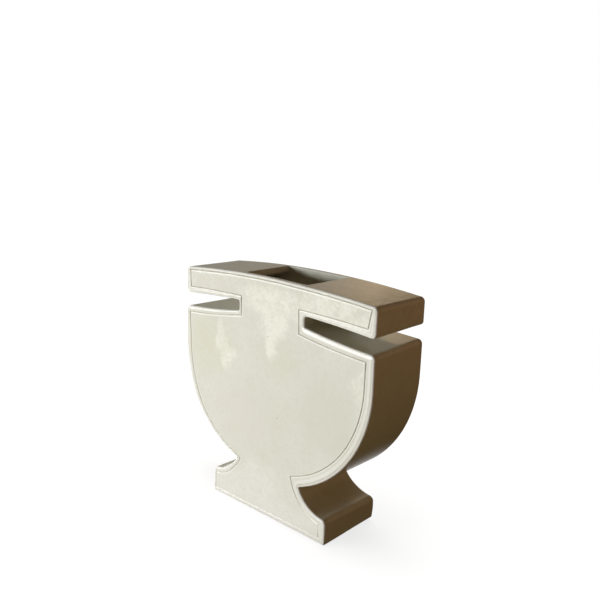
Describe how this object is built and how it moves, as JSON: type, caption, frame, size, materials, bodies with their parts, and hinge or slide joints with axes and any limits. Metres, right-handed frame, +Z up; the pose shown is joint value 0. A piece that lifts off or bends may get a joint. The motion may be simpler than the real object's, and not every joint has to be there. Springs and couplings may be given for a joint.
{
  "type": "wall vase",
  "caption": "Flat slab-built vase in the outline of a footed cup: a wide collar bar over side slots, a half round bowl and a flared foot, with hanging keyholes in its back",
  "frame": {"origin": "centre of the foot's underside, halfway between the front and back faces", "axes": "+X across the front to the right as seen from the front, +Y from the front face to the back face, +Z up"},
  "size_m": [0.19, 0.055, 0.1844],
  "materials": {
    "cream_glaze": "gloss",
    "bare_clay": "matte"
  },
  "bodies": {
    "root": {"front_slab": "cream_glaze", "back_slab": "cream_glaze", "top_plate_left": "cream_glaze", "top_plate_right": "cream_glaze", "collar_end_left": "cream_glaze", "collar_end_right": "cream_glaze", "collar_floor_left": "cream_glaze", "collar_floor_right": "cream_glaze", "neck_wall_left": "cream_glaze", "neck_wall_right": "cream_glaze", "shoulder_left": "cream_glaze", "shoulder_right": "cream_glaze", "bowl_wall_left": "cream_glaze", "bowl_wall_right": "cream_glaze", "foot_flare_left": "cream_glaze", "foot_flare_right": "cream_glaze", "foot_end_left": "cream_glaze", "foot_end_right": "cream_glaze", "base_slab": "bare_clay"}
  },
  "joints": []
}
